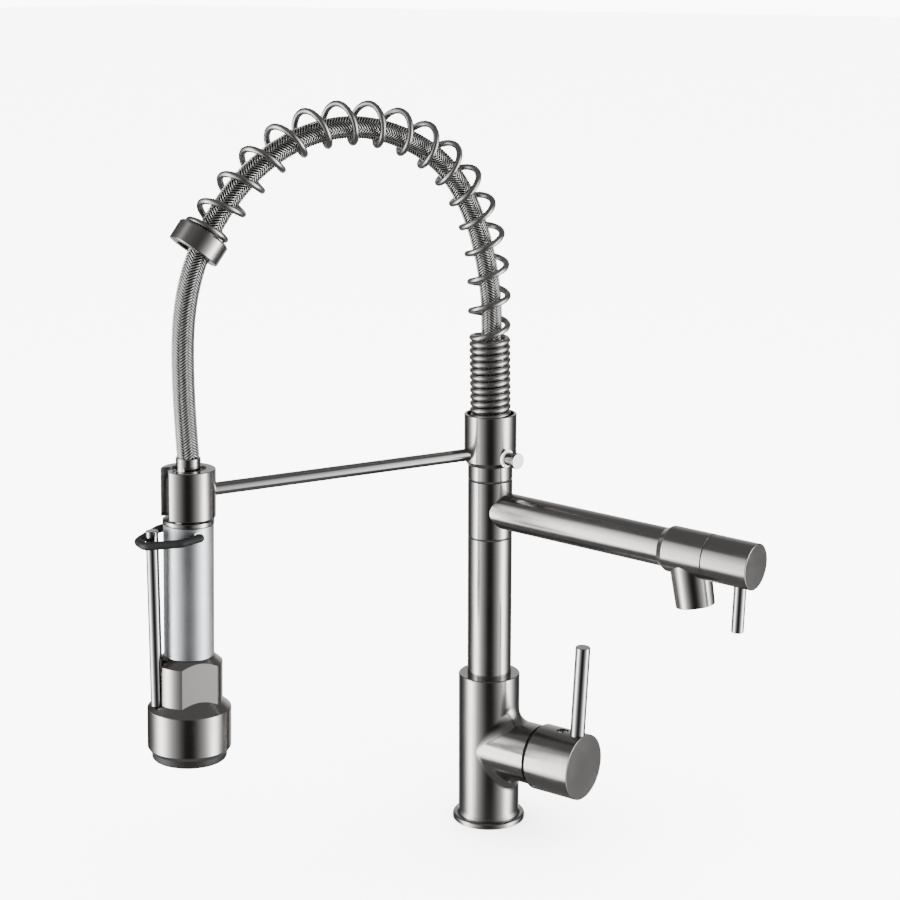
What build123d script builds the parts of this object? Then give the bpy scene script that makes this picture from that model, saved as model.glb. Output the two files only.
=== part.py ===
"""Single-hole kitchen faucet with a spring arch, a pull-down sprayer in a docking arm and a second swivel spout.

Millimetres. The origin is the centre of the base flange's underside, on the column's axis.
+Z is up, and +X points along the mixing handle's cartridge.
Each function makes one piece, and each piece goes to its own node.
"""
import math
import os

from build123d import *

# Clearances
RUN = 0.06  # radial clearance of a turning or sliding fit
GAP = 0.3  # least gap between pieces that move past each other

# Base and body
FLANGE_R = 25.0
FLANGE_T = 4.0
BODY_R = 21.0
BODY_TOP = 106.0
SPIGOT_R = 19.4
UNDERCUT = 10.0  # depth of the open recess under the body
INLET_R = 5.0  # M10 x 1 supply hose threads
INLET_XY = 7.0
INLET_LEN = 14.0
STUD_R = 4.0  # M8 clamping stud
STUD_X = 9.0
STUD_LEN = 18.0

# Column
COLUMN_R = 15.0
COLUMN_BORE = 13.0
COLUMN_SEAT = 86.0
COLUMN_TOP = 203.2
POST_R = 10.0
POST_BORE = 7.0
POST_TOP = 253.4
RING_GROOVES = (209.5, 237.5, 250.9)
WASHER_T = 0.6

# Mixing cartridge and handle, on an axis along +X
HANDLE_Z = 54.7
NECK_R = 20.6
NECK_END = 40.8
NECK_BLEND = 10.0
CAVITY_R = 17.6
CAVITY_FLOOR = 12.0
TILT_X = 27.0  # the stem rocks about this point
TILT_PIN_R = 1.4
STEM_EYE_R = 2.6  # the stem's foot is rounded about its pin
STEM_START = 27.0
STEM = 7.0
HUB_R = 22.5
HUB_START = 44.0
HUB_END = 77.5
HUB_BORE = 21.2
HUB_WEB = 62.5  # the hub is solid past here
PIN_R = 5.0
PIN_X = 71.0
PIN_LEAN = 3.0
PIN_TOP = 139.5
SCREW_X = 60.6

# Second spout, on an axis that falls a little outwards
COLLAR_LOW = 204.1
COLLAR_TOP = 243.0
SPOUT_Z = 223.0
SPOUT_FALL = 1.75
SPOUT_R = 12.5
SPOUT_BORE = 10.6
SPOUT_END_R = 14.9
SHOULDER = (136.0, 140.5)
SEAM = 168.5
SPOUT_LEN = 200.0
KNOB_PIN_R = 4.0
KNOB_PIN_D = 190.0
KNOB_PIN_REACH = 44.7
NOZZLE_TIP = (158.4, 184.4)
NOZZLE_LEAN = 10.0
NOZZLE_R = (12.5, 13.4)

# Swivel head: diverter body, button and docking arm
HEAD_LOW = 244.1
SOCKET_R = 17.5
SOCKET_TOP = 288.2
SOCKET_BORE = 15.6
SOCKET_FLOOR = 270.0
BUTTON_Z = 260.0
BUTTON_AZ = -13.0
BUTTON_R = 4.6
BUTTON_TRAVEL = 4.0
ARM_AZ = -114.8
ARM_Z = 261.7
ARM_REACH = 216.0
ARM_R = 4.15
HOLDER_R = 17.0
HOLDER_HALF = 15.4
LINER_R = 12.5
LINER_BORE = 10.4
SLOT_W = 14.8
SPRAYER_LEAN = 1.6  # the sprayer's foot hangs outwards by this angle

# Spring arch, in the docking arm's plane as (reach, height)
WIRE_R = 2.05
COIL_R = 12.3
ARCH_CENTRE = (103.0, 383.0)
ARCH_R = 100.0
ARCH_STEP = 36.0  # the arch's corners stand this many degrees apart
SPRING_FOOT = (0.0, SOCKET_FLOOR + GAP)
SPRING_BEND = (0.4, 330.0)
SPRING_END = (203.0, 417.2)
CAP_R = 16.7
CAP_H = 13.6
CAP_BORE = 11.1

# Hose, in the same plane, from its inlet nut to the sprayer's crimp sleeve
HOSE_R = 7.0
HOSE_BORE = 4.5
NUT_TOP = 278.0
SLEEVE_TOP = 284.0
HOSE_ROUTE = [
    (0.0, NUT_TOP - 0.5),
    (-0.9, 326.0),
    (-0.4, 374.5),
    (12.4, 422.6),
    (37.1, 459.6),
    (81.7, 480.4),
    (124.3, 480.4),
    (163.3, 462.3),
    (193.3, 431.1),
    (213.4, 390.8),
    (218.4, 337.0),
    (215.4, SLEEVE_TOP - 0.5),
]

# Sprayer, given as heights above the deck along its own axis
NECK_LOW = 245.6
NECK_TOP = 271.0
CONNECTOR_R = 10.0
SHANK_R = 8.0
RING = (242.3, 245.2)
RING_R = 16.1
GRIP_R = 15.75
GRIP = (157.0, 242.0)
VALVE_R = 21.0
VALVE_TOP = 152.5
FLAT_D = 17.4
SHROUD_R = 26.5
SHROUD_RIM = 122.5
CONE_R = 17.0
CONE_TOP = 130.6
SHROUD_LOW = 94.4
BUMPER_R = 23.75
BUMPER_LOW = 88.8
LEVER_R = 3.9
LEVER_X = 21.6
LEVER_FOOT = 126.5
LEVER_TOP = 240.0
LEVER_LEAN = 1.25
LEVER_PIVOT = (20.0, 114.0)
PLUNGER_Z = 123.5
PLUNGER_R = 3.0
BAIL_WIRE = 2.0  # its pins, in the grip
BAIL_BOW = 2.6
BAIL_Z = 237.0
BAIL_SHOULDER = 13.0
BAIL_REACH = 31.6
BAIL_BIGHT = 6.4
BAIL_BEND = 6.0
BAIL_DROP = 9.0


# Frames that pieces are drawn in
def handle_frame(shape):
    """Local +Z runs along the handle's axis, and local -X is up."""
    return Pos(0, 0, HANDLE_Z) * Rot(0, 90, 0) * shape


def spout_frame(shape):
    """Local +Z runs out along the spout, and local -X is up."""
    return Pos(0, 0, SPOUT_Z) * Rot(0, 90 + SPOUT_FALL, 0) * shape


def button_frame(shape):
    """Local +Z runs out of the diverter body along the button."""
    return Pos(0, 0, BUTTON_Z) * Rot(0, 0, BUTTON_AZ) * Rot(0, 90, 0) * shape


def arm_frame(shape):
    """Local +X runs out along the docking arm."""
    return Rot(0, 0, ARM_AZ) * shape


def sprayer_frame(shape):
    """The sprayer's axis is local Z, with heights kept as if it hung plumb, and local +X points outwards."""
    hang = Pos(ARM_REACH, 0, ARM_Z) * Rot(0, -SPRAYER_LEAN, 0) * Pos(0, 0, -ARM_Z)
    return arm_frame(hang * shape)


# Shapes that many pieces share
def turned(points, rounds=None):
    """A turned solid about Z from (radius, height) points; rounds gives a radius for each point to be rounded."""
    face = make_face(Polyline(*points, close=True))
    for (x, y), radius in (rounds or {}).items():
        corner = face.vertices().sort_by_distance(Vector(x, y, 0))[0]
        face = fillet(corner, radius)
    return revolve(Plane.XZ * face, Axis.Z)


def rod(radius, low, high):
    return Pos(0, 0, (low + high) / 2) * Cylinder(radius, high - low)


def tube(outer, inner, low, high):
    return turned([(inner, low), (outer, low), (outer, high), (inner, high)])


def box(x, y, z):
    """A box from (low, high) pairs."""
    middle = Pos(sum(x) / 2, sum(y) / 2, sum(z) / 2)
    return middle * Box(x[1] - x[0], y[1] - y[0], z[1] - z[0])


def ring(major, minor, height):
    return Pos(0, 0, height) * Torus(major, minor)


def cone_height(radius):
    """Height of the shroud's sloping top at a radius."""
    share = (SHROUD_R - radius) / (SHROUD_R - CONE_R)
    return SHROUD_RIM + share * (CONE_TOP - SHROUD_RIM)


# Base and body
def base_flange():
    points = [
        (SPIGOT_R + 0.1, 0),
        (20.5, 0),
        (20.5, 1.8),
        (23.5, 1.8),
        (23.5, 0),
        (FLANGE_R, 0),
        (FLANGE_R, FLANGE_T),
        (SPIGOT_R + 0.1, FLANGE_T),
    ]
    return turned(points, {(FLANGE_R, FLANGE_T): 1.8, (FLANGE_R, 0): 0.3})


def base_gasket():
    return tube(23.3, 20.7, 0, 1.7)


def faucet_body():
    flare = 22.0
    outside = [
        (0, 0.5),
        (SPIGOT_R, 0.5),
        (SPIGOT_R, FLANGE_T),
        (flare, FLANGE_T),
        (flare, FLANGE_T + 0.7),
        (BODY_R, FLANGE_T + 3),
        (BODY_R, BODY_TOP),
        (0, BODY_TOP),
    ]
    body = turned(outside, {(BODY_R, BODY_TOP): 0.8, (BODY_R, FLANGE_T + 3): 2})
    body += handle_frame(turned([(0, 0), (NECK_R, 0), (NECK_R, NECK_END), (0, NECK_END)]))
    joins = [e for e in body.edges() if e.geom_type not in (GeomType.CIRCLE, GeomType.LINE)]
    body = fillet(joins, NECK_BLEND)
    body -= rod(17.0, 0, UNDERCUT)
    body -= rod(COLUMN_R + RUN, COLUMN_SEAT, BODY_TOP + 1)
    body -= rod(9.0, 62, COLUMN_SEAT + 1)
    body -= handle_frame(rod(CAVITY_R, CAVITY_FLOOR, 33.3))
    body -= handle_frame(rod(18.5, 33.3, NECK_END + 1))
    body -= Pos(STUD_X, 0, 0) * rod(STUD_R, UNDERCUT - 1, UNDERCUT + STUD_LEN)
    for side in (-1, 1):
        inlet = rod(INLET_R, UNDERCUT - 1, UNDERCUT + INLET_LEN) + rod(2.5, 20, 52)
        body -= Pos(-INLET_XY, side * INLET_XY, 0) * inlet
        body -= Pos(0, side * INLET_XY, 50) * Rot(0, 90, 0) * rod(2.4, -INLET_XY, CAVITY_FLOOR + 1)
    body -= Pos(0, 0, 61) * Rot(0, 90, 0) * rod(3.0, -3, CAVITY_FLOOR + 1)
    return body


def lower_column():
    points = [
        (COLUMN_BORE, COLUMN_SEAT),
        (COLUMN_R, COLUMN_SEAT),
        (COLUMN_R, COLUMN_TOP),
        (COLUMN_BORE, COLUMN_TOP),
    ]
    return turned(points, {(COLUMN_R, COLUMN_TOP): 0.4})


def swivel_post():
    """Fixed hollow post that the spout collar and the swivel head turn on."""
    post = turned(
        [
            (POST_BORE, 182),
            (COLUMN_BORE - 0.02, 182),
            (COLUMN_BORE - 0.02, COLUMN_TOP),
            (POST_R, COLUMN_TOP),
            (POST_R, POST_TOP),
            (POST_BORE, POST_TOP),
        ]
    )
    for height in RING_GROOVES:
        post -= tube(POST_R + 1, 8.2, height - 1.1, height + 1.1)
    post -= tube(POST_R + 1, 9.2, 245.4, 248.8)
    for turn in (0, 90):
        post -= Pos(0, 0, SPOUT_Z) * Rot(0, 0, turn) * Rot(0, 90, 0) * rod(2.5, -15, 15)
    return post


def post_o_rings():
    return Compound([ring(9.08, 0.85, height) for height in RING_GROOVES])


def swivel_washers():
    lows = (COLUMN_TOP, COLLAR_TOP + GAP)
    return Compound([tube(14.4, POST_R + RUN, low, low + WASHER_T) for low in lows])


# Mixing cartridge
PORTS = [(4.7, 7.0), (4.7, -7.0), (-6.3, 0.0)]  # hot, cold and mixed, in the handle's frame


def ported(shape):
    for x, y in PORTS:
        shape -= Pos(x, y, 0) * rod(2.4, 0, 30)
    return shape


def cartridge_base():
    return handle_frame(ported(rod(CAVITY_R - 0.1, CAVITY_FLOOR + 1.3, 18)))


def cartridge_seals():
    return handle_frame(Compound([Pos(x, y, 0) * ring(3.4, 0.5, 12.7) for x, y in PORTS]))


def fixed_disc():
    return handle_frame(ported(rod(12.8, 18.1, 21.1)))


def moving_disc():
    return handle_frame(rod(11.0, 21.4, 24.2) - box((-8, 7), (-8, 8), (21, 22.9)))


def cartridge_housing():
    points = [
        (14.4, 18),
        (CAVITY_R - 0.1, 18),
        (CAVITY_R - 0.1, 33),
        (9.8, 33),
        (9.8, 31.5),
        (14.4, 31.5),
    ]
    return handle_frame(turned(points))


def cartridge_turner():
    slot = box((-5.2, 9.6), (-STEM / 2 - GAP, STEM / 2 + GAP), (24, 32))
    return handle_frame(rod(14.0, 24.5, 31.1) - slot - tilt_pin_line(TILT_PIN_R + 0.02, 9.6))


def tilt_pin_line(radius, half):
    """A rod across the handle's axis, on the line that the stem rocks about."""
    return Pos(0, 0, TILT_X) * Rot(90, 0, 0) * rod(radius, -half, half)


def stem_pivot_pin():
    return handle_frame(tilt_pin_line(TILT_PIN_R, 9.5))


def cartridge_lock_nut():
    nut = tube(18.4, 13.4, 33.3, 40.5)
    for turn in (0, 90):
        nut -= Rot(0, 0, turn) * box((-20, 20), (-2, 2), (38.5, 41))
    return handle_frame(nut)


def gap_ring():
    return handle_frame(tube(19.4, 15.5, NECK_END + 0.1, 43.5))


# Handle
def handle_stem():
    half = STEM / 2
    stem = box((-half, half), (-half, half), (STEM_START, 61.8)) + tilt_pin_line(STEM_EYE_R, half)
    return handle_frame(stem - tilt_pin_line(TILT_PIN_R + RUN, half + 1))


def pin_line(radius, low, high):
    """A rod on the handle pin's leaning line, between two distances from the handle's axis."""
    return Pos(0, 0, PIN_X) * Rot(0, -90 + PIN_LEAN, 0) * rod(radius, low, high)


def handle_hub():
    hub = turned(
        [(0, HUB_START), (HUB_R, HUB_START), (HUB_R, HUB_END), (0, HUB_END)],
        {(HUB_R, HUB_END): 0.5, (HUB_R, HUB_START): 0.3},
    )
    hub -= rod(HUB_BORE, HUB_START - 1, HUB_WEB)
    web = Pos(0, 0, SCREW_X) * Rot(0, -90, 0) * rod(5.5, 3, HUB_BORE + 0.2)
    hub += rod(9.5, 50, HUB_WEB + 1) + (web & rod(HUB_R - 0.4, HUB_START, HUB_END))
    hole = (STEM + 0.1) / 2
    hub -= box((-hole, hole), (-hole, hole), (49, 62))
    hub -= Pos(0, 0, SCREW_X) * Rot(0, -90, 0) * (rod(2.05, 0, HUB_R) + rod(4.05, 18.4, HUB_R + 1))
    hub -= pin_line(PIN_R + 0.02, 9, HUB_R + 2)
    return handle_frame(hub)


def handle_pin():
    reach = (PIN_TOP - HANDLE_Z) / math.cos(math.radians(PIN_LEAN))
    pin = pin_line(PIN_R, 9.2, reach)
    top = pin.faces().sort_by(Axis.X)[0]
    return handle_frame(fillet(top.edges(), 0.6))


def cross_screw(head_r, head_t, shank_r, length):
    """A cross-recess screw with its head's top at height 0."""
    screw = turned(
        [(0, -length), (shank_r, -length), (shank_r, -head_t), (head_r, -head_t), (head_r, 0), (0, 0)],
        {(head_r, 0): 0.7},
    )
    arm = head_r * 0.62
    for turn in (0, 90):
        screw -= Rot(0, 0, turn) * box((-arm, arm), (-0.55, 0.55), (-1.5, 1))
    return screw


def handle_screw():
    top = 21.3
    screw = cross_screw(3.5, 2.6, 2.0, top - STEM / 2 - 0.05)
    return handle_frame(Pos(-top, 0, SCREW_X) * Rot(0, -90, 0) * Rot(0, 0, 30) * screw)


# Second spout
def spout_collar():
    points = [
        (POST_R + RUN, COLLAR_LOW),
        (COLUMN_R, COLLAR_LOW),
        (COLUMN_R, COLLAR_TOP),
        (POST_R + RUN, COLLAR_TOP),
    ]
    collar = turned(points, {(COLUMN_R, COLLAR_LOW): 0.4, (COLUMN_R, COLLAR_TOP): 0.4})
    collar -= tube(11.8, POST_R - 1, 216, 230)
    return collar - spout_frame(rod(8.5, 8, 30))


def spout_tube():
    pipe = spout_frame(tube(SPOUT_R, SPOUT_BORE, 8, 146))
    return pipe - rod(COLUMN_R, SPOUT_Z - 30, SPOUT_Z + 30)


def nozzle_line(shape):
    """Local Z runs up the nozzle's leaning axis from its tip."""
    return Pos(NOZZLE_TIP[0], 0, NOZZLE_TIP[1]) * Rot(0, -NOZZLE_LEAN, 0) * shape


def spout_end_body():
    body = turned(
        [
            (SPOUT_R + 0.02, SHOULDER[0]),
            (SPOUT_END_R, SHOULDER[1]),
            (SPOUT_END_R, SEAM),
            (10.2, SEAM),
            (10.2, 146),
            (SPOUT_R + 0.02, 146),
        ],
        {(SPOUT_END_R, SHOULDER[1]): 1.0, (SPOUT_END_R, SEAM): 0.4},
    )
    return spout_frame(body) - nozzle_line(rod(8.0, 10, 32))


def spout_nozzle():
    low, high = NOZZLE_R
    nozzle = turned([(10.8, 0), (low, 0), (high, 36), (10.8, 36)], {(low, 0): 0.6})
    return nozzle_line(nozzle) - spout_frame(rod(SPOUT_END_R, 120, 190))


def aerator_housing():
    return nozzle_line(tube(10.75, 9.0, 0.8, 9))


def aerator_screen():
    screen = rod(8.95, 2.2, 3.6)
    holes = [Pos(0, 0, 0)]
    for count, radius in ((6, 2.8), (12, 5.6)):
        holes += [Rot(0, 0, 360 * i / count) * Pos(radius, 0, 0) for i in range(count)]
    screen -= [hole * rod(0.9, 2, 4) for hole in holes]
    return nozzle_line(screen)


def spout_valve():
    """Quarter-turn headwork, fixed in the spout's end."""
    valve = tube(10.1, KNOB_PIN_R + RUN, 150, 168)
    return spout_frame(valve) - nozzle_line(rod(5.0, 10, 34))


def spout_valve_stem():
    stem = rod(KNOB_PIN_R, 151, 184)
    return spout_frame(stem - box((-2.2, 2.2), (0, 5), (150, 160)))


def spout_knob():
    knob = turned(
        [(0, SEAM + GAP), (SPOUT_END_R, SEAM + GAP), (SPOUT_END_R, SPOUT_LEN), (0, SPOUT_LEN)],
        {(SPOUT_END_R, SPOUT_LEN): 0.5, (SPOUT_END_R, SEAM + GAP): 0.4},
    )
    knob -= tube(12.6, 7.0, SEAM, 184)
    knob -= rod(KNOB_PIN_R + 0.02, SEAM, 184.1)
    knob -= Pos(0, 0, KNOB_PIN_D) * Rot(0, 90, 0) * rod(KNOB_PIN_R + 0.02, 5, 20)
    return spout_frame(knob)


def spout_knob_pin():
    pin = Pos(0, 0, KNOB_PIN_D) * Rot(0, 90, 0) * rod(KNOB_PIN_R, 5.2, KNOB_PIN_REACH)
    end = pin.faces().sort_by(Axis.X)[-1]
    return spout_frame(fillet(end.edges(), 0.6))


# Swivel head
def diverter_body():
    outside = [
        (0, HEAD_LOW),
        (COLUMN_R, HEAD_LOW),
        (COLUMN_R, 253.4),
        (SOCKET_R, 256.6),
        (SOCKET_R, SOCKET_TOP),
        (SOCKET_BORE, SOCKET_TOP),
        (SOCKET_BORE, SOCKET_FLOOR),
        (0, SOCKET_FLOOR),
    ]
    rounds = {(COLUMN_R, HEAD_LOW): 0.4, (SOCKET_R, SOCKET_TOP): 0.6, (SOCKET_BORE, SOCKET_TOP): 0.5}
    body = turned(outside, rounds)
    body -= rod(POST_R + RUN, HEAD_LOW - 1, POST_TOP + 0.4)
    body -= rod(3.0, 250, 272) + rod(5.0, 265.6, 272)
    body -= button_frame(rod(4.3, -11, 12) + rod(4.9, 4.6, 12) + rod(6.0, 9, 20))
    body -= arm_frame(Pos(0, 0, ARM_Z) * Rot(0, 90, 0) * rod(ARM_R, 9.4, 20))
    body -= arm_frame(Pos(0, 0, 247.1) * Rot(0, -90, 0) * rod(2.05, 8, 20))
    return body


def head_screw():
    """Grub screw that keeps the head on its post and rides in the post's groove."""
    screw = rod(2.0, 10.6, 14.4) + rod(1.4, 9.6, 10.7) - rod(1.0, 12.4, 15)
    return arm_frame(Pos(0, 0, 247.1) * Rot(0, -90, 0) * screw)


def button_bush():
    return button_frame(tube(5.95, BUTTON_R + RUN, 9.2, 16.6))


def diverter_button():
    points = [
        (0, 9.0),
        (BUTTON_R, 9.0),
        (BUTTON_R, 24.4),
        (5.3, 24.4),
        (5.3, 27.4),
        (0, 27.4),
    ]
    return button_frame(turned(points, {(5.3, 27.4): 0.5, (5.3, 24.4): 0.3}) - rod(1.6, 8, 13))


def coil(radius, wire, low, high, turns):
    """A small compression spring along Z."""
    path = Helix((high - low) / turns, high - low, radius)
    start = Plane(origin=path @ 0, z_dir=path % 0)
    return Pos(0, 0, low) * sweep(start * Circle(wire), path)


def button_spring():
    """Return spring between the diverter body's shoulder and the button."""
    return button_frame(coil(3.9, 0.35, 5.1, 8.5, 3))


def diverter_spool():
    """Spool with two lands that sends water up to the hose or leaves it to the spout."""
    spool = turned(
        [
            (0, -6.5),
            (4.2, -6.5),
            (4.2, -3.5),
            (2.2, -3.5),
            (2.2, 1.6),
            (4.2, 1.6),
            (4.2, 4.4),
            (1.5, 4.4),
            (1.5, 12.8),
            (0, 12.8),
        ]
    )
    return button_frame(spool)


def docking_arm():
    return arm_frame(Pos(0, 0, ARM_Z) * Rot(0, 90, 0) * rod(ARM_R - 0.02, 9.6, ARM_REACH - 13.2))


def dock_holder():
    low, high = ARM_Z - HOLDER_HALF, ARM_Z + HOLDER_HALF
    points = [
        (LINER_R + 0.05, low),
        (HOLDER_R, low),
        (HOLDER_R, high),
        (LINER_BORE + 0.5, high),
        (LINER_BORE + 0.5, high - 2),
        (LINER_R + 0.05, high - 2),
    ]
    rounds = {(HOLDER_R, low): 0.7, (HOLDER_R, high): 0.7, (LINER_BORE + 0.5, high): 0.4}
    holder = turned(points, rounds)
    half = SLOT_W / 2
    holder -= box((0, 20), (-half, half), (low - 1, high + 1))
    holder = sprayer_frame(holder)
    return holder - arm_frame(Pos(0, 0, ARM_Z) * Rot(0, 90, 0) * rod(ARM_R, ARM_REACH - 20, ARM_REACH - 5))


def dock_liner():
    low, high = ARM_Z - HOLDER_HALF + 0.3, ARM_Z + HOLDER_HALF - 2.1
    half = SLOT_W / 2 - 0.3
    liner = tube(LINER_R, LINER_BORE, low, high)
    return sprayer_frame(liner - box((0, 20), (-half, half), (low - 1, high + 1)))


# Spring arch and hose
def arch_route():
    """Corners of the spring's path: they stand outside the arch, so that the runs touch it."""
    corner_r = ARCH_R / math.cos(math.radians(ARCH_STEP / 2))
    corners = []
    for k in range(4):
        angle = math.radians(180 - ARCH_STEP * (k + 0.5))
        x = ARCH_CENTRE[0] + corner_r * math.cos(angle)
        corners.append((x, ARCH_CENTRE[1] + corner_r * math.sin(angle)))
    return [SPRING_FOOT, SPRING_BEND] + corners + [SPRING_END]


def corner_radii(route):
    """The largest arc that each corner's two runs allow, with room left between arcs."""
    radii = []
    for before, here, after in zip(route, route[1:], route[2:]):
        first = Vector(here[0] - before[0], here[1] - before[1])
        second = Vector(after[0] - here[0], after[1] - here[1])
        half_turn = math.radians(first.get_angle(second) / 2)
        radii.append(0.45 * min(first.length, second.length) / math.tan(half_turn))
    return radii


def path_along(route):
    return FilletPolyline(*[(x, 0, z) for x, z in route], radius=corner_radii(route))


def swept_tube(route, outer, inner):
    path = path_along(route)
    start = Plane(origin=path @ 0, z_dir=path % 0)
    return sweep(start * (Circle(outer) - Circle(inner)), path)


def arch_spring():
    """The coil's space: a tube from the wire's inside to its outside."""
    return arm_frame(swept_tube(arch_route(), COIL_R + WIRE_R, COIL_R - WIRE_R))


def spring_end_cap():
    end = Vector(SPRING_END[0], 0, SPRING_END[1])
    corner = arch_route()[-2]
    run = Vector(SPRING_END[0] - corner[0], 0, SPRING_END[1] - corner[1]).normalized()
    seat = 5.0
    bore = COIL_R + WIRE_R + 0.05
    points = [
        (CAP_BORE, 0.02),
        (bore, 0.02),
        (bore, -seat),
        (15.4, -seat),
        (CAP_R, -seat + 1.3),
        (CAP_R, CAP_H - seat),
        (CAP_BORE, CAP_H - seat),
    ]
    rounds = {(CAP_R, CAP_H - seat): 0.6, (CAP_BORE, CAP_H - seat): 0.5}
    return arm_frame(Plane(origin=end, z_dir=run) * turned(points, rounds))


def spray_hose():
    """The hose, cut square above its nut and above the crimp sleeve."""
    hose = arm_frame(swept_tube(HOSE_ROUTE, HOSE_R, HOSE_BORE))
    return hose - rod(12, NUT_TOP - 5, NUT_TOP) - sprayer_frame(rod(12, SLEEVE_TOP - 10, SLEEVE_TOP + GAP))


def hose_inlet_nut():
    nut = extrude(RegularPolygon(9.2, 6), 5.6) & rod(8.9, -1, 7)
    nut = Pos(0, 0, SOCKET_FLOOR) * nut + rod(HOSE_R, 275, NUT_TOP) + rod(4.9, 265.8, 271)
    return nut - rod(3.0, 260, 280)


# Sprayer's connector, which slides out of the dock with the sprayer
def crimp_sleeve():
    points = [
        (5.1, 262),
        (7.7, 262),
        (7.7, SLEEVE_TOP),
        (HOSE_BORE, SLEEVE_TOP),
        (HOSE_BORE, 271.2),
        (5.1, 271.2),
    ]
    sleeve = turned(points, {(7.7, SLEEVE_TOP): 0.5})
    for height in (278.4, 281.2):
        sleeve -= tube(8.5, 7.45, height, height + 0.5)
    return sprayer_frame(sleeve)


def swivel_connector():
    connector = turned(
        [
            (4.0, 228),
            (SHANK_R, 228),
            (SHANK_R, NECK_LOW),
            (CONNECTOR_R, NECK_LOW),
            (CONNECTOR_R, NECK_TOP - 2.2),
            (7.75, NECK_TOP),
            (7.75, 261.9),
            (4.0, 261.9),
        ]
    )
    return sprayer_frame(connector)


# Sprayer
def neck_ring():
    points = [
        (SHANK_R + RUN, RING[0]),
        (RING_R, RING[0]),
        (RING_R, RING[1]),
        (SHANK_R + RUN, RING[1]),
    ]
    return sprayer_frame(turned(points, {(RING_R, RING[1]): 0.6, (RING_R, RING[0]): 0.4}))


def grip_sleeve():
    low, high = GRIP
    points = [(13.5, low), (GRIP_R, low), (GRIP_R, high), (13.5, high)]
    sleeve = turned(points, {(GRIP_R, low): 0.4, (GRIP_R, high): 0.4})
    return sprayer_frame(sleeve - Pos(0, 0, BAIL_Z) * Rot(90, 0, 0) * rod(3.0, -20, 20))


def sprayer_inner_tube():
    """Waterway from the connector down to the valve, with the connector's bearing at its top."""
    inner = turned(
        [
            (5.0, 166),
            (7.5, 166),
            (7.5, 222),
            (11.0, 225),
            (11.0, 242),
            (SHANK_R + RUN, 242),
            (SHANK_R + RUN, 227.5),
            (5.0, 227.5),
        ]
    )
    return sprayer_frame(inner)


def bail_bushes():
    bush = tube(2.95, BAIL_WIRE + RUN, 11.6, 15.4)
    pair = [Pos(0, 0, BAIL_Z) * Rot(turn, 0, 0) * bush for turn in (90, -90)]
    return sprayer_frame(Compound(pair))


def valve_body():
    outside = [
        (3.5, 108),
        (16.9, 108),
        (16.9, CONE_TOP + 0.1),
        (VALVE_R, cone_height(VALVE_R) + 0.1),
        (VALVE_R, VALVE_TOP),
        (16.0, GRIP[0] - 0.2),
        (13.4, GRIP[0] - 0.2),
        (13.4, 166),
        (3.5, 166),
    ]
    body = turned(outside)
    for side in (-1, 1):
        body -= box((-25, 25), sorted((side * FLAT_D, side * 25)), (118, 160))
    ears = box((12, 22.6), (-6.6, 6.6), (109, 118.5)) - box((16.9, 30), (-3.4, 3.4), (100, 130))
    body += ears
    body -= box((16.6, 30), (-4.65, 4.65), (123, 160))
    body -= Pos(LEVER_PIVOT[0], 0, LEVER_PIVOT[1]) * Rot(90, 0, 0) * rod(1.5, -10, 10)
    body -= Pos(0, 0, PLUNGER_Z) * Rot(0, 90, 0) * rod(PLUNGER_R + RUN, -6, 20)
    return sprayer_frame(body)


def head_shroud():
    points = [
        (24.3, SHROUD_LOW),
        (24.9, SHROUD_LOW),
        (SHROUD_R, SHROUD_LOW + 2.4),
        (SHROUD_R, SHROUD_RIM),
        (CONE_R, CONE_TOP),
        (CONE_R, 124),
        (24.3, 119.5),
    ]
    rounds = {(SHROUD_R, SHROUD_RIM): 0.9, (SHROUD_R, SHROUD_LOW + 2.4): 0.8}
    shroud = turned(points, rounds)
    shroud -= box((14, 23.4), (-3.3, 3.3), (115, 135))
    shroud -= box((14, 30), (-4.65, 4.65), (LEVER_FOOT - 0.5, 135))
    return sprayer_frame(shroud)


def face_bumper():
    points = [
        (20.4, BUMPER_LOW),
        (BUMPER_R, BUMPER_LOW),
        (BUMPER_R, SHROUD_LOW - 0.4),
        (24.2, SHROUD_LOW + 0.2),
        (24.2, 99),
        (20.4, 99),
    ]
    return sprayer_frame(turned(points, {(BUMPER_R, BUMPER_LOW): 1.6, (20.4, BUMPER_LOW): 0.8}))


def spray_face():
    face = rod(20.3, 90.6, 93.6)
    holes = []
    for count, radius in ((6, 4.5), (12, 9.0), (18, 13.5), (24, 17.6)):
        holes += [Rot(0, 0, 360 * i / count) * Pos(radius, 0, 0) for i in range(count)]
    return sprayer_frame(face - [hole * rod(0.7, 90, 94) for hole in holes])


def water_guide():
    """Funnel that spreads the valve's water over the spray face."""
    points = [(3.4, 107.9), (16.8, 107.9), (20.3, 99.5), (20.3, 94), (18.3, 94), (18.3, 99), (3.4, 105)]
    return sprayer_frame(turned(points))


def lever_pivot_pin():
    x, z = LEVER_PIVOT
    return sprayer_frame(Pos(x, 0, z) * Rot(90, 0, 0) * rod(1.48, -6.6, 6.6))


def valve_plunger():
    plunger = rod(PLUNGER_R, -2, 17.8) - tube(4, 2.0, 4, 8)
    return sprayer_frame(Pos(0, 0, PLUNGER_Z) * Rot(0, 90, 0) * plunger)


def plunger_spring():
    """Return spring behind the valve's plunger."""
    return sprayer_frame(Pos(0, 0, PLUNGER_Z) * Rot(0, 90, 0) * coil(2.2, 0.35, -5.3, -2.5, 3))


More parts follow.
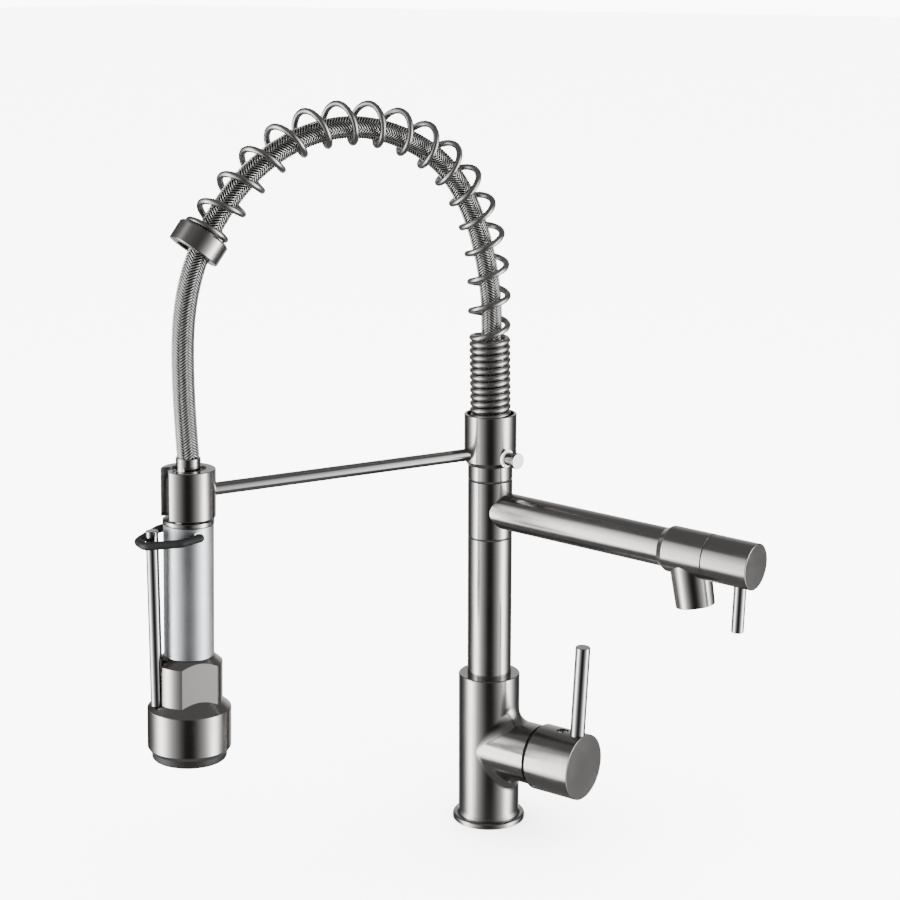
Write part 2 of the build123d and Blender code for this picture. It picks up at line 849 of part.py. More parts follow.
# Spray lever and its lock bail
def spray_lever():
    x, z = LEVER_PIVOT
    line = Pos(LEVER_X, 0, LEVER_FOOT) * Rot(0, LEVER_LEAN, 0)
    handle = rod(LEVER_R, 0, LEVER_TOP - LEVER_FOOT)
    handle = fillet(handle.edges().filter_by(GeomType.CIRCLE).sort_by(Axis.Z)[-1], 0.6)
    lever = line * handle + box((18.3, 22.4), (-2.9, 2.9), (111.2, LEVER_FOOT + 1))
    return sprayer_frame(lever - Pos(x, 0, z) * Rot(90, 0, 0) * rod(1.5 + RUN, -8, 8))


def lock_bail():
    """Rubber-dipped wire: its legs run past the grip and close in to a bight round the lever."""
    half = GRIP_R + GAP + BAIL_BOW
    side = [(0, half), (BAIL_SHOULDER, half), (BAIL_REACH, BAIL_BIGHT)]
    outline = side + [(x, -y) for x, y in reversed(side)]
    path = FilletPolyline(*[(x, y, 0) for x, y in outline], radius=BAIL_BEND)
    bail = sweep(Plane(origin=path @ 0, z_dir=path % 0) * Circle(BAIL_BOW), path)
    for turn in (-1, 1):
        bail += Pos(0, -turn * half, 0) * Sphere(BAIL_BOW)
        bail += Rot(turn * 90, 0, 0) * rod(BAIL_WIRE, 12.0, half)
    return sprayer_frame(Pos(0, 0, BAIL_Z) * Rot(0, BAIL_DROP, 0) * bail)


PIECES = [
    base_flange,
    base_gasket,
    faucet_body,
    lower_column,
    swivel_post,
    post_o_rings,
    swivel_washers,
    cartridge_base,
    cartridge_seals,
    fixed_disc,
    moving_disc,
    cartridge_housing,
    cartridge_turner,
    stem_pivot_pin,
    cartridge_lock_nut,
    gap_ring,
    handle_stem,
    handle_hub,
    handle_pin,
    handle_screw,
    spout_collar,
    spout_tube,
    spout_end_body,
    spout_nozzle,
    aerator_housing,
    aerator_screen,
    spout_valve,
    spout_valve_stem,
    spout_knob,
    spout_knob_pin,
    diverter_body,
    head_screw,
    button_bush,
    diverter_button,
    button_spring,
    diverter_spool,
    docking_arm,
    dock_holder,
    dock_liner,
    arch_spring,
    spring_end_cap,
    spray_hose,
    hose_inlet_nut,
    crimp_sleeve,
    swivel_connector,
    neck_ring,
    grip_sleeve,
    sprayer_inner_tube,
    bail_bushes,
    valve_body,
    head_shroud,
    face_bumper,
    spray_face,
    water_guide,
    lever_pivot_pin,
    valve_plunger,
    plunger_spring,
    spray_lever,
    lock_bail,
]


def main():
    os.makedirs("parts", exist_ok=True)
    for name, route in (("spring", arch_route()), ("hose", HOSE_ROUTE)):
        radii = ", ".join(f"{r:.0f}" for r in corner_radii(route))
        print(f"{name}: path {path_along(route).length:.1f} mm, corner radii {radii}")
    for piece in PIECES:
        export_step(piece(), f"parts/{piece.__name__}.step")


main()
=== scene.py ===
"""Looks of a single-hole kitchen faucet with a spring arch, a docked pull-down sprayer and a side spout.

Everything is in metres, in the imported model's own frame: +Z up the column and +X along the mixing handle.
"""
import math

import bmesh
import bpy
from mathutils import Matrix, Vector


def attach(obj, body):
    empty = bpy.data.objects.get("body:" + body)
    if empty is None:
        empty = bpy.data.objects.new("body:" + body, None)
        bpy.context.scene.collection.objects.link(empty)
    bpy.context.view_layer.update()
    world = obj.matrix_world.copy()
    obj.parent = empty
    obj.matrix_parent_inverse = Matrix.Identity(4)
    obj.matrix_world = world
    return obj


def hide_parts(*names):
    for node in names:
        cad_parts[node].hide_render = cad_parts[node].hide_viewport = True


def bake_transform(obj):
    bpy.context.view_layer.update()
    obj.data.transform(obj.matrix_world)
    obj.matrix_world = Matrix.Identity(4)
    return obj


bl_info = {
    "name": "Spring Arch Kitchen Faucet",
    "version": (1, 0, 0),
    "blender": (4, 5, 0),
    "location": "View3D > Sidebar > Faucet",
    "description": "Wound spring, braided hose, spray nubs, finishes and studio of a pull-down faucet",
    "category": "Add Mesh",
}

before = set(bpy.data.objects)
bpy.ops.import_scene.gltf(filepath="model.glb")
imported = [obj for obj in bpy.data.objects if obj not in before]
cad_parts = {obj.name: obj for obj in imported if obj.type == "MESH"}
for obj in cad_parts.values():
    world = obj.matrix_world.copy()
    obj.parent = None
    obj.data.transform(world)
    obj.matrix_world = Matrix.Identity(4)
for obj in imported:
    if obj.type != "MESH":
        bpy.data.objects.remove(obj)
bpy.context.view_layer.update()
MM = 0.001

# The docking arm's plane: points in it are (reach, height) in millimetres
ARM_TURN = math.radians(-114.8)
OUT = Vector((math.cos(ARM_TURN), math.sin(ARM_TURN), 0))
SIDE = Vector((-OUT.y, OUT.x, 0))
UP = Vector((0, 0, 1))

# Where the sprayer hangs from the arm, and how far its foot swings out
DOCK = (216.0, 261.7)
SPRAYER_LEAN = math.radians(1.6)

# The spring's path goes up from its socket, round the arch and down to its end cap
ARCH_CENTRE = (103.0, 383.0)
ARCH_R = 100.0
ARCH_STEP = 36.0
SPRING_FOOT = (0.0, 270.3)
SPRING_BEND = (0.4, 330.0)
SPRING_END = (203.0, 417.2)
CLOSE_STRETCH = 70.0
CLOSE_PITCH = 4.45

# The hose's path, from its nut inside the socket to the sprayer's crimp sleeve
HOSE_ROUTE = [
    (0.0, 278.0),
    (-0.9, 326.0),
    (-0.4, 374.5),
    (12.4, 422.6),
    (37.1, 459.6),
    (81.7, 480.4),
    (124.3, 480.4),
    (163.3, 462.3),
    (193.3, 431.1),
    (213.4, 390.8),
    (218.4, 337.0),
    (215.4, 284.3),
]
CORE_INSET = 1.3 * MM  # how far the dark tube lies under the top of the braid
BRAID_STEPS = 36  # points in one turn of a wire
BRAID_HALF_WIDTH = 0.47 * MM
BRAID_HALF_THICK = 0.27 * MM
BRAID_WAVE = 0.37 * MM  # how far a wire rises and dives from the middle of the weave

SPRING_STEPS = 26  # points in one turn of the arch spring
END_TURNS = 1.4  # close turns that sit in the end cap

SPRAY_RINGS = ((1, 0.0), (6, 4.5), (12, 9.0), (18, 13.5), (24, 17.6))
FACE_HEIGHT = 90.6


# Places
def arm_point(reach, height, side=0.0):
    return (OUT * reach + UP * height + SIDE * side) * MM


def sprayer_matrix():
    """Takes plumb sprayer coordinates, in metres, to where the sprayer hangs."""
    hang = Matrix.Translation((DOCK[0] * MM, 0, DOCK[1] * MM)) @ Matrix.Rotation(-SPRAYER_LEAN, 4, "Y")
    return Matrix.Rotation(ARM_TURN, 4, "Z") @ hang @ Matrix.Translation((0, 0, -DOCK[1] * MM))


def arch_route():
    """The arch's corners stand outside its circle, so that the line bends round inside them."""
    corner_r = ARCH_R / math.cos(math.radians(ARCH_STEP / 2))
    corners = []
    for k in range(4):
        angle = math.radians(180 - ARCH_STEP * (k + 0.5))
        corners.append((ARCH_CENTRE[0] + corner_r * math.cos(angle), ARCH_CENTRE[1] + corner_r * math.sin(angle)))
    return [SPRING_FOOT, SPRING_BEND] + corners + [SPRING_END]


# Curves
def route_curve(name, route, steps=24):
    """A smooth NURBS curve with the route's points as its control points."""
    data = bpy.data.curves.new(name, "CURVE")
    data.dimensions = "3D"
    data.resolution_u = steps
    spline = data.splines.new("NURBS")
    spline.points.add(len(route) - 1)
    for point, (reach, height) in zip(spline.points, route):
        point.co = (*arm_point(reach, height), 1)
    spline.order_u = 3
    spline.use_endpoint_u = True
    curve = bpy.data.objects.new(name, data)
    bpy.context.scene.collection.objects.link(curve)
    return curve


def curve_line(curve):
    """The points that a curve with no bevel runs through."""
    mesh = bpy.data.meshes.new_from_object(curve)
    points = [v.co.copy() for v in mesh.vertices]
    bpy.data.meshes.remove(mesh)
    return points


class Line:
    """A line through points, read by distance along it."""

    def __init__(self, points):
        self.points = points
        self.marks = [0.0]
        for a, b in zip(points, points[1:]):
            self.marks.append(self.marks[-1] + (b - a).length)
        self.length = self.marks[-1]
        self.at = 0

    def place(self, distance):
        """Point and direction there; distances are asked for in rising order after a call at zero."""
        if distance <= self.marks[self.at]:
            self.at = 0
        while self.at < len(self.marks) - 2 and self.marks[self.at + 1] < distance:
            self.at += 1
        a, b = self.points[self.at], self.points[self.at + 1]
        span = self.marks[self.at + 1] - self.marks[self.at]
        share = min(max((distance - self.marks[self.at]) / span, 0), 1)
        before = self.points[max(self.at - 1, 0)]
        after = self.points[min(self.at + 2, len(self.points) - 1)]
        direction = (b - before).lerp(after - a, share).normalized()
        return a.lerp(b, share), direction


def curve_to_mesh(curve):
    bpy.ops.object.select_all(action="DESELECT")
    curve.select_set(True)
    bpy.context.view_layer.objects.active = curve
    bpy.ops.object.convert(target="MESH")
    piece = bpy.context.object
    bpy.ops.object.mode_set(mode="EDIT")
    bpy.ops.mesh.select_all(action="SELECT")
    bpy.ops.mesh.remove_doubles(threshold=1e-6)
    bpy.ops.mesh.normals_make_consistent(inside=False)
    bpy.ops.object.mode_set(mode="OBJECT")
    bpy.ops.object.shade_smooth()
    return piece


def finish_piece(piece, material):
    piece.data.materials.clear()
    piece.data.materials.append(material)
    return piece


# Materials
def linear(hex_colour):
    """sRGB hex to linear RGBA."""
    channels = [int(hex_colour[i : i + 2], 16) / 255 for i in (1, 3, 5)]
    return (*[c / 12.92 if c <= 0.04045 else ((c + 0.055) / 1.055) ** 2.4 for c in channels], 1)


def add_node(tree, kind, inputs=None, **settings):
    """Adds a shader node, with its settings, its fixed inputs and its links."""
    node = tree.nodes.new("ShaderNode" + kind)
    for key, value in settings.items():
        setattr(node, key, value)
    for key, value in (inputs or {}).items():
        if isinstance(value, bpy.types.NodeSocket):
            tree.links.new(value, node.inputs[key])
        else:
            node.inputs[key].default_value = value
    return node


def new_material(name):
    material = bpy.data.materials.new(name)
    material.use_nodes = True
    material.node_tree.nodes.clear()
    return material, material.node_tree


def surface(tree, shader):
    add_node(tree, "OutputMaterial", {"Surface": shader.outputs["BSDF"]})


def brushed(name, colour, rough, grain_mm, along, tilt=(0, 0, 0), depth=0.00002):
    """Satin-brushed metal: hair lines a fraction of a millimetre apart, which cross the given axis."""
    material, tree = new_material(name)
    place = add_node(tree, "TexCoord").outputs["Object"]
    fine = 1 / (grain_mm * MM)
    scale = [fine if axis == along else fine / 40 for axis in "XYZ"]
    lines = add_node(tree, "Mapping", {"Vector": place, "Rotation": tilt, "Scale": scale})
    hair = add_node(tree, "TexNoise", {"Vector": lines.outputs[0], "Scale": 1.0, "Detail": 3.0})
    cloud = add_node(tree, "TexNoise", {"Vector": place, "Scale": 28.0, "Detail": 2.0})
    both = add_node(tree, "Math", {0: hair.outputs["Fac"], 1: cloud.outputs["Fac"]}, operation="ADD")
    span = add_node(
        tree,
        "MapRange",
        {"Value": both.outputs[0], "From Min": 0.7, "From Max": 1.3, "To Min": rough - 0.05, "To Max": rough + 0.07},
    )
    shade = add_node(tree, "Mix", data_type="RGBA")
    tree.links.new(hair.outputs["Fac"], shade.inputs[0])
    shade.inputs[6].default_value = linear(colour)
    shade.inputs[7].default_value = [c * 0.86 for c in linear(colour)[:3]] + [1]
    bump = add_node(tree, "Bump", {"Height": hair.outputs["Fac"], "Strength": 0.35, "Distance": depth})
    shader = add_node(
        tree,
        "BsdfPrincipled",
        {
            "Base Color": shade.outputs[2],
            "Metallic": 1.0,
            "Roughness": span.outputs["Result"],
            "Normal": bump.outputs["Normal"],
        },
    )
    surface(tree, shader)
    return material


def grainy(name, colour, rough, grain_mm, metallic=0.0, depth=0.00003, spread=0.12):
    """A moulded, cast or turned surface with a fine even grain."""
    material, tree = new_material(name)
    place = add_node(tree, "TexCoord").outputs["Object"]
    grain = add_node(tree, "TexNoise", {"Vector": place, "Scale": 1 / (grain_mm * MM), "Detail": 4.0})
    shade = add_node(tree, "Mix", data_type="RGBA")
    tree.links.new(grain.outputs["Fac"], shade.inputs[0])
    shade.inputs[6].default_value = linear(colour)
    shade.inputs[7].default_value = [c * (1 - spread) for c in linear(colour)[:3]] + [1]
    span = add_node(
        tree,
        "MapRange",
        {"Value": grain.outputs["Fac"], "From Min": 0.3, "From Max": 0.7, "To Min": rough, "To Max": rough + 0.1},
    )
    bump = add_node(tree, "Bump", {"Height": grain.outputs["Fac"], "Strength": 0.3, "Distance": depth})
    shader = add_node(
        tree,
        "BsdfPrincipled",
        {
            "Base Color": shade.outputs[2],
            "Metallic": metallic,
            "Roughness": span.outputs["Result"],
            "Normal": bump.outputs["Normal"],
        },
    )
    surface(tree, shader)
    return material


def woven_wire(name, colour, painted_shade, rough):
    """Drawn wires in a weave: their own colour where they come up, darkened by painted shade where they dive under
    other wires and on their undersides.
    """
    material, tree = new_material(name)
    height = add_node(tree, "Attribute", attribute_name="height").outputs["Fac"]
    unshaded_share = add_node(tree, "MapRange", {"Value": height, "From Min": 0.25, "From Max": 0.75})
    shade = add_node(tree, "Mix", data_type="RGBA")
    tree.links.new(unshaded_share.outputs["Result"], shade.inputs[0])
    # The dark end of this mix is painted shade, not a colour the wire has: it darkens the dives and undersides
    shade.inputs[6].default_value = linear(painted_shade)
    shade.inputs[7].default_value = linear(colour)
    shader = add_node(
        tree, "BsdfPrincipled", {"Base Color": shade.outputs[2], "Metallic": 1.0, "Roughness": rough}
    )
    surface(tree, shader)
    return material


def make_materials(colours):
    """Every finish on the faucet, by name."""
    nickel = colours.nickel
    return {
        # Brass with a gunmetal nickel plate, turned on a lathe: hair lines run round the column
        "nickel_turned": brushed("brushed_gunmetal_nickel_turned", nickel, 0.17, 0.35, "Z"),
        # The same plate on the spout and the handle, turned about their own axes
        "nickel_spout": brushed("brushed_gunmetal_nickel_spout", nickel, 0.18, 0.35, "X"),
        # Plated and buffed bright: sharp reflections on the pins, the rod and the small collars
        "bright": brushed("polished_dark_nickel", colours.bright, 0.12, 0.5, "Z", depth=0.000005),
        # Extruded aluminium, bead blasted and anodised clear: a pale, soft sheen
        "aluminium": brushed("satin_anodised_aluminium", colours.grip, 0.42, 0.3, "Z", depth=0.00001),
        # Oil-tempered spring wire with a dark nickel flash: smooth, with soft highlights
        "wire": grainy("dark_nickel_spring_wire", colours.wire, 0.24, 0.4, metallic=1.0, depth=0.000006),
        # Drawn stainless wires of the hose's sleeve: bright slashes in bands, with painted shade that darkens them
        # where they dive and between them
        "braid": woven_wire("stainless_braid_wire", colours.braid, "#161617", 0.3),
        # EPDM tube that shows dark between the braid's wires
        "epdm": grainy("black_epdm_tube", "#0E0E0F", 0.55, 0.3),
        # Moulded rubber: near black and quite matt, with a faint bloom
        "rubber": grainy("moulded_black_rubber", "#070708", 0.5, 0.5, depth=0.00004, spread=0.25),
        # Soft silicone nubs that the water leaves by
        "silicone": grainy("grey_silicone", "#5C5E61", 0.45, 0.4),
        "brass": grainy("turned_brass", "#C9A15C", 0.28, 0.5, metallic=1.0),
        "nylon": grainy("moulded_acetal", "#D9D6CC", 0.42, 0.5),
        "ceramic": grainy("lapped_alumina_ceramic", "#E8E4DA", 0.15, 0.2, spread=0.05),
        "stainless": brushed("turned_stainless_steel", "#B9B8B5", 0.22, 0.3, "Z"),
        # Acetal and ABS mouldings: plain, with a dull sheen
        "acetal": grainy("moulded_grey_acetal", "#5A5B5D", 0.35, 0.4),
        "abs": grainy("moulded_grey_abs", "#1E1F21", 0.4, 0.4),
    }


# Which finish each CAD node has
FINISHES = {
    "nickel_turned": (
        "base_flange faucet_body lower_column spout_collar diverter_body dock_holder spring_end_cap"
        " valve_body head_shroud swivel_connector"
    ),
    "nickel_spout": "handle_hub spout_tube spout_end_body spout_nozzle spout_knob",
    "bright": (
        "handle_pin spout_knob_pin docking_arm neck_ring crimp_sleeve spray_lever diverter_button"
        " handle_screw"
    ),
    "aluminium": "grip_sleeve",
    "wire": "arch_spring button_spring plunger_spring",
    "epdm": "spray_hose",
    "rubber": "base_gasket post_o_rings cartridge_seals gap_ring face_bumper lock_bail",
    "brass": (
        "swivel_post cartridge_lock_nut spout_valve spout_valve_stem diverter_spool hose_inlet_nut"
        " valve_plunger"
    ),
    "nylon": (
        "cartridge_base cartridge_housing cartridge_turner button_bush aerator_housing"
        " aerator_screen sprayer_inner_tube bail_bushes water_guide"
    ),
    "ceramic": "fixed_disc moving_disc",
    "stainless": "handle_stem stem_pivot_pin head_screw lever_pivot_pin",
    "abs": "spray_face swivel_washers",
    "acetal": "dock_liner",
}
MATERIALS = {}


class FaucetColours(bpy.types.PropertyGroup):
    """Finishes that a user would change, as sRGB hex values."""

    nickel: bpy.props.StringProperty(name="Plate", description="Brushed plate on the body", default="#A09D9B")
    bright: bpy.props.StringProperty(name="Bright plate", description="Buffed pins and rod", default="#A9A7A6")
    grip: bpy.props.StringProperty(name="Grip", description="Anodised grip sleeve", default="#CDD1D4")
    wire: bpy.props.StringProperty(name="Spring wire", description="Arch spring", default="#A5A3A1")
    braid: bpy.props.StringProperty(name="Braid", description="Hose sleeve's wires", default="#DADAD8")


class FaucetSizes(bpy.types.PropertyGroup):
    """Sizes of the wound and woven pieces."""

    wire: bpy.props.FloatProperty(
        name="Spring wire", description="Diameter of the arch spring's wire", default=4.1 * MM, unit="LENGTH"
    )
    coil: bpy.props.FloatProperty(
        name="Coil", description="Mean radius of the arch spring's turns", default=12.3 * MM, unit="LENGTH"
    )
    open_turns: bpy.props.FloatProperty(
        name="Open turns", description="Turns between the close coils and the end cap", default=16.0
    )
    hose: bpy.props.FloatProperty(
        name="Hose", description="Diameter over the braid", default=14.0 * MM, unit="LENGTH"
    )
    strands: bpy.props.IntProperty(
        name="Strands", description="Wires that wind each way round the hose", default=16
    )
    lay: bpy.props.FloatProperty(
        name="Lay", description="Length of hose in which a wire goes round once", default=28.8 * MM, unit="LENGTH"
    )


class FAUCET_OT_finishes(bpy.types.Operator):
    """Makes the materials and gives one to every CAD node"""

    bl_idname = "faucet.finishes"
    bl_label = "Finishes"

    def execute(self, context):
        MATERIALS.update(make_materials(context.scene.faucet_colours))
        for finish, names in FINISHES.items():
            for name in names.split():
                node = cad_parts[name]
                node.data.materials.clear()
                node.data.materials.append(MATERIALS[finish])
        return {"FINISHED"}


class FAUCET_OT_arch_spring(bpy.types.Operator):
    """Winds the arch spring: close turns over the socket, open ones round the arch, close ones in the cap"""

    bl_idname = "faucet.arch_spring"
    bl_label = "Arch spring"

    def execute(self, context):
        sizes = context.scene.faucet_sizes
        guide = route_curve("spring_path", arch_route())
        line = Line(curve_line(guide))
        bpy.data.objects.remove(guide)
        start = sizes.wire
        finish = line.length - sizes.wire / 2
        close = CLOSE_STRETCH * MM
        end_close = finish - END_TURNS * CLOSE_PITCH * MM
        close_turns = (close - start) / (CLOSE_PITCH * MM)
        knots = [
            (start, 0.0),
            (close, close_turns),
            (end_close, close_turns + sizes.open_turns),
            (finish, close_turns + sizes.open_turns + END_TURNS),
        ]
        total = knots[-1][1]
        data = bpy.data.curves.new("wound_spring", "CURVE")
        data.dimensions = "3D"
        data.bevel_depth = sizes.wire / 2
        data.bevel_resolution = 3
        data.use_fill_caps = True
        spline = data.splines.new("POLY")
        count = int(total * SPRING_STEPS)
        spline.points.add(count)
        for i in range(count + 1):
            turn = total * i / count
            low, high = next(pair for pair in zip(knots, knots[1:]) if turn <= pair[1][1] + 1e-9)
            share = (turn - low[1]) / (high[1] - low[1])
            distance = low[0] + share * (high[0] - low[0])
            centre, direction = line.place(distance)
            angle = 2 * math.pi * turn
            outward = direction.cross(SIDE)
            opening = min(max((distance - close) / (18 * MM), 0), 1)
            radius = sizes.coil - 0.6 * MM * (1 - opening)
            point = centre + (SIDE * math.cos(angle) + outward * math.sin(angle)) * radius
            spline.points[i].co = (*point, 1)
        spring = bpy.data.objects.new("wound_spring", data)
        context.scene.collection.objects.link(spring)
        spring = curve_to_mesh(spring)
        finish_piece(spring, MATERIALS["wire"])
        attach(spring, "head")
        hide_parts("arch_spring")
        return {"FINISHED"}


def braid_wires(name, line, sizes, turn_way):
    """One family of the braid's wires, which all wind the same way and weave over four and under four."""
    middle = sizes.hose / 2 - BRAID_HALF_THICK - BRAID_WAVE
    turns = line.length / sizes.lay
    count = int(turns * BRAID_STEPS)
    vertices, faces, shade_lift = [], [], []
    slope = math.atan2(2 * math.pi * middle, sizes.lay)
    places = []
    line.place(0)
    for i in range(count + 1):
        centre, direction = line.place(line.length * i / count)
        places.append((centre, direction, direction.cross(SIDE)))
    for k in range(sizes.strands):
        first_angle = 2 * math.pi * k / sizes.strands
        base = len(vertices)
        for i, (centre, direction, outward) in enumerate(places):
            along = turns * i / count
            angle = first_angle + turn_way * 2 * math.pi * along
            radial = SIDE * math.cos(angle) + outward * math.sin(angle)
            round_way = outward * math.cos(angle) - SIDE * math.sin(angle)
            across = direction * math.sin(slope) - round_way * (turn_way * math.cos(slope))
            crossing = 2 * k + turn_way * 2 * along * sizes.strands
            lift = math.tanh(2.2 * math.sin(math.pi / 4 * crossing + math.pi / 8)) * turn_way
            middle_point = centre + radial * (middle + BRAID_WAVE * lift)
            vertices += [
                middle_point + radial * BRAID_HALF_THICK,
                middle_point + across * BRAID_HALF_WIDTH,
                middle_point - radial * BRAID_HALF_THICK,
                middle_point - across * BRAID_HALF_WIDTH,
            ]
            # Painted shade mask: 1 where the wire rides on top, less on its sides, 0 on its inner face and where it
            # dives
            high = 0.5 + 0.5 * lift
            shade_lift += [high, high * 0.7, 0.0, high * 0.7]
            if i:
                a = base + 4 * (i - 1)
                faces += [(a + j, a + (j + 1) % 4, a + 4 + (j + 1) % 4, a + 4 + j) for j in range(4)]
        faces += [(base, base + 1, base + 2, base + 3), tuple(base + 4 * count + j for j in (3, 2, 1, 0))]
    mesh = bpy.data.meshes.new(name)
    mesh.from_pydata(vertices, [], faces)
    piece = bpy.data.objects.new(name, mesh)
    bpy.context.scene.collection.objects.link(piece)
    shape = bmesh.new()
    shape.from_mesh(mesh)
    bmesh.ops.recalc_face_normals(shape, faces=shape.faces)
    shape.to_mesh(mesh)
    shape.free()
    mesh.attributes.new("height", "FLOAT", "POINT").data.foreach_set("value", shade_lift)
    for face in mesh.polygons:
        face.use_smooth = True
    return piece


class FAUCET_OT_spray_hose(bpy.types.Operator):
    """Makes the hose: a dark tube in a sleeve of bright wires woven both ways"""

    bl_idname = "faucet.spray_hose"
    bl_label = "Spray hose"

    def execute(self, context):
        sizes = context.scene.faucet_sizes
        curve = route_curve("hose_tube", HOSE_ROUTE)
        path = curve_line(curve)
        line = Line(path)
        curve.data.bevel_depth = sizes.hose / 2 - CORE_INSET
        curve.data.bevel_resolution = 6
        curve.data.use_fill_caps = True
        tube = curve_to_mesh(curve)
        tube.name = "hose_tube"
        finish_piece(tube, MATERIALS["epdm"])
        wires = []
        for name, turn_way in (("braid_right", 1), ("braid_left", -1)):
            braid = braid_wires(name, line, sizes, turn_way)
            wires.append(finish_piece(braid, MATERIALS["braid"]))
        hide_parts("spray_hose")
        for piece in [tube] + wires:
            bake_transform(piece)
        return {"FINISHED"}


class FAUCET_OT_spray_nubs(bpy.types.Operator):
    """Sets the soft nubs in rings on the spray face"""

    bl_idname = "faucet.spray_nubs"
    bl_label = "Spray nubs"

    def execute(self, context):
        bpy.ops.object.select_all(action="DESELECT")
        bpy.ops.mesh.primitive_cone_add(
            vertices=12, radius1=1.15 * MM, radius2=0.75 * MM, depth=1.6 * MM, location=(0, 0, 0)
        )
        nub = context.object
        bpy.ops.object.mode_set(mode="EDIT")
        shape = bmesh.from_edit_mesh(nub.data)
        for face in shape.faces:
            face.select_set(face.normal.z > 0.9)
        bmesh.update_edit_mesh(nub.data)
        bpy.ops.mesh.inset(thickness=0.35 * MM)
        bpy.ops.transform.translate(value=(0, 0, -0.7 * MM))
        bpy.ops.object.mode_set(mode="OBJECT")
        stamp = nub.data
        joined = bmesh.new()
        turn_over = Matrix.Rotation(math.pi, 4, "X")
        for count, radius in SPRAY_RINGS:
            for k in range(count):
                angle = 2 * math.pi * k / count
                spot = (radius * MM * math.cos(angle), radius * MM * math.sin(angle), (FACE_HEIGHT + 0.1) * MM)
                copy = stamp.copy()
                copy.transform(sprayer_matrix() @ Matrix.Translation(spot) @ turn_over)
                joined.from_mesh(copy)
                bpy.data.meshes.remove(copy)
        bpy.data.objects.remove(nub)
        mesh = bpy.data.meshes.new("spray_nubs")
        joined.to_mesh(mesh)
        joined.free()
        nubs = bpy.data.objects.new("spray_nubs", mesh)
        context.scene.collection.objects.link(nubs)
        finish_piece(nubs, MATERIALS["silicone"])
        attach(nubs, "sprayer")
        return {"FINISHED"}


# Studio. The dome stands all round, out of view, and gives the metal its long soft streaks.
VIEW_TURN = math.radians(35.916)
VIEW_PITCH = math.radians(13.696)
VIEW_PLACE = (0.73997, -1.06756, 0.57927)
LENS = 80.0
DOME_R = 2.4
# Degrees from the camera's side of the studio, and how bright the dome is there
WALL_TONES = [
    (0, 0.003),
    (10, 0.004),
    (20, 0.018),
    (31, 0.045),
    (43, 0.09),
    (53, 0.20),
    (62, 0.5),
    (72, 1.0),
    (82, 0.75),
    (92, 0.22),
    (100, 0.10),
    (108, 0.04),
    (118, 0.02),
    (132, 0.005),
    (146, 0.012),
    (160, 0.07),
    (180, 0.10),
]
DOME_POWER = 12.0
# The dark overhead and the dark below the deck: where each starts and is full, in degrees, and its tone
CAPS = ((8, 50, 0.018), (-21, -36, 0.018))


def dome_material():
    """Soft boxes and black flags, as tones on a dome round the studio."""
    material, tree = new_material("studio_dome")
    place = add_node(tree, "TexCoord").outputs["Object"]
    spin = add_node(tree, "Mapping", {"Vector": place, "Rotation": (0, 0, math.pi / 2 - VIEW_TURN)})
    sweep = add_node(tree, "TexGradient", {"Vector": spin.outputs[0]}, gradient_type="RADIAL")
    # The gradient is 0.5 on the camera's side, and falls to 0 or rises to 1 behind the object
    fold = add_node(tree, "Math", {0: sweep.outputs["Fac"], 1: 0.5}, operation="SUBTRACT")
    half = add_node(tree, "Math", {0: fold.outputs[0]}, operation="ABSOLUTE")
    turn = add_node(tree, "Math", {0: half.outputs[0], 1: 2.0}, operation="MULTIPLY")
    tones = add_node(tree, "ValToRGB", {"Fac": turn.outputs[0]})
    stops = tones.color_ramp.elements
    for degrees, tone in WALL_TONES:
        stop = stops[0] if degrees == 0 else stops[-1] if degrees == 180 else stops.new(degrees / 180)
        stop.color = (tone, tone, tone, 1)
    height = add_node(tree, "SeparateXYZ", {"Vector": place}).outputs["Z"]
    shade = tones.outputs["Color"]
    for low, high, tone in CAPS:
        edges = [DOME_R * math.sin(math.radians(angle)) for angle in (low, high)]
        share = add_node(tree, "MapRange", {"Value": height, "From Min": edges[0], "From Max": edges[1]})
        mix = add_node(tree, "Mix", data_type="RGBA")
        tree.links.new(share.outputs["Result"], mix.inputs[0])
        tree.links.new(shade, mix.inputs[6])
        mix.inputs[7].default_value = (tone, tone, tone, 1)
        shade = mix.outputs[2]
    light = add_node(tree, "Emission", {"Color": shade, "Strength": DOME_POWER})
    add_node(tree, "OutputMaterial", {"Surface": light.outputs["Emission"]})
    return material


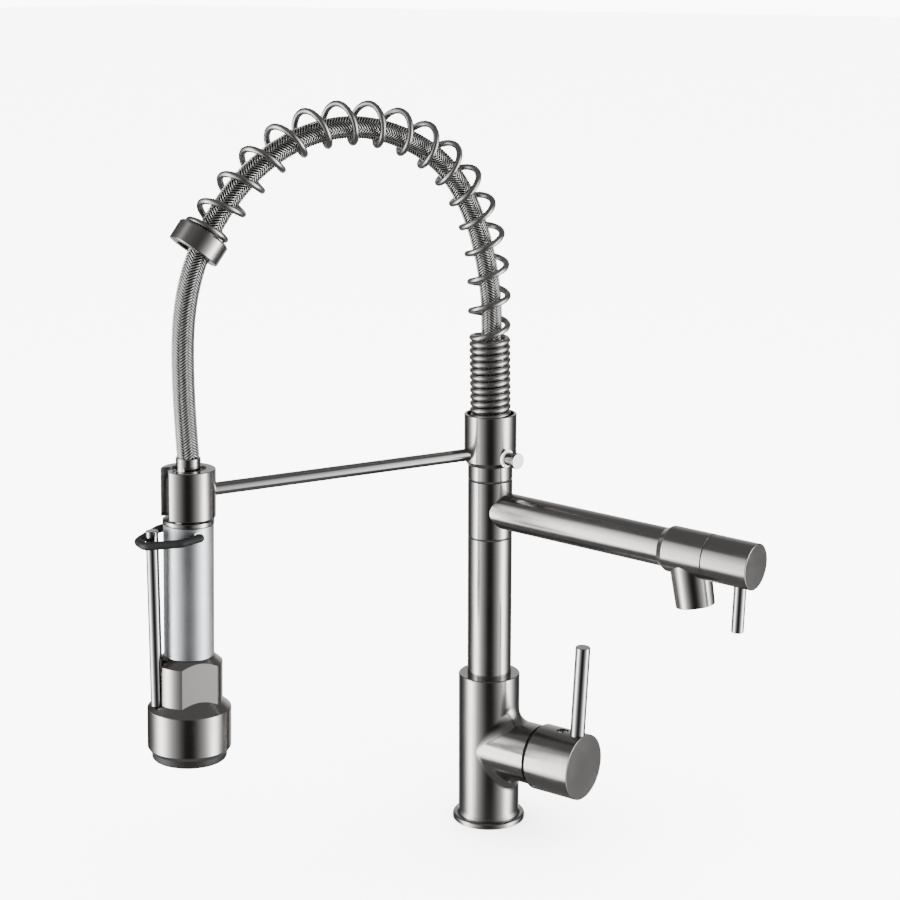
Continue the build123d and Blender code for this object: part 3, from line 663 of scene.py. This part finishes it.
class FAUCET_OT_studio(bpy.types.Operator):
    """Builds the pale floor, the dome, the lamps and the camera"""

    bl_idname = "faucet.studio"
    bl_label = "Studio"

    def execute(self, context):
        scene = context.scene
        bpy.ops.object.select_all(action="DESELECT")
        bpy.ops.mesh.primitive_plane_add(size=40, location=(0, 0, 0))
        floor = context.object
        floor.name = "studio_floor"
        floor.visible_glossy = False
        # Painted board: flat, with a faint tooth
        floor.data.materials.append(grainy("pale_floor", "#F4F4F3", 0.85, 3.0, spread=0.02))
        bpy.ops.object.select_all(action="DESELECT")
        bpy.ops.mesh.primitive_uv_sphere_add(segments=64, ring_count=32, radius=DOME_R, location=(0, 0, 0))
        dome = context.object
        dome.name = "studio_dome"
        dome.visible_camera = False
        dome.visible_shadow = False
        dome.visible_diffuse = False
        dome.data.materials.append(dome_material())
        world = bpy.data.worlds.new("studio_air")
        world.use_nodes = True
        world.node_tree.nodes["Background"].inputs["Color"].default_value = (1, 1, 1, 1)
        world.node_tree.nodes["Background"].inputs["Strength"].default_value = 10.0
        world.cycles_visibility.glossy = False
        scene.world = world
        for name, place, size, power in (
            ("key", (-0.9, -1.5, 1.7), 1.2, 22),
            ("fill", (1.7, -0.4, 1.3), 1.0, 14),
            ("top", (0.0, 0.4, 2.2), 1.6, 18),
        ):
            data = bpy.data.lights.new(name + "_lamp", "AREA")
            data.shape = "SQUARE"
            data.size = size
            data.energy = power
            lamp = bpy.data.objects.new(name + "_lamp", data)
            lamp.location = place
            lamp.rotation_euler = (Vector((0, -0.05, 0.25)) - Vector(place)).to_track_quat("-Z", "Y").to_euler()
            lamp.visible_glossy = False
            scene.collection.objects.link(lamp)
        data = bpy.data.cameras.new("camera")
        data.lens = LENS
        data.sensor_width = 36
        camera = bpy.data.objects.new("camera", data)
        camera.location = VIEW_PLACE
        camera.rotation_euler = (math.pi / 2 - VIEW_PITCH, 0, VIEW_TURN)
        scene.collection.objects.link(camera)
        scene.camera = camera
        return {"FINISHED"}


class FAUCET_PT_panel(bpy.types.Panel):
    """Lists the steps that dress the faucet"""

    bl_label = "Spring Arch Faucet"
    bl_space_type = "VIEW_3D"
    bl_region_type = "UI"
    bl_category = "Faucet"

    def draw(self, context):
        for group in (context.scene.faucet_sizes, context.scene.faucet_colours):
            for key in group.__annotations__:
                self.layout.prop(group, key)
        for step in STEPS:
            self.layout.operator(step.bl_idname)


STEPS = (
    FAUCET_OT_finishes,
    FAUCET_OT_arch_spring,
    FAUCET_OT_spray_hose,
    FAUCET_OT_spray_nubs,
    FAUCET_OT_studio,
)
CLASSES = (FaucetColours, FaucetSizes, *STEPS, FAUCET_PT_panel)


def register():
    for cls in CLASSES:
        bpy.utils.register_class(cls)
    bpy.types.Scene.faucet_colours = bpy.props.PointerProperty(type=FaucetColours)
    bpy.types.Scene.faucet_sizes = bpy.props.PointerProperty(type=FaucetSizes)


def unregister():
    del bpy.types.Scene.faucet_sizes
    del bpy.types.Scene.faucet_colours
    for cls in reversed(CLASSES):
        bpy.utils.unregister_class(cls)


def main():
    register()
    bpy.ops.object.select_all(action="DESELECT")
    for step in STEPS:
        group, name = step.bl_idname.split(".")
        getattr(getattr(bpy.ops, group), name)()


if __name__ == "__main__":
    main()
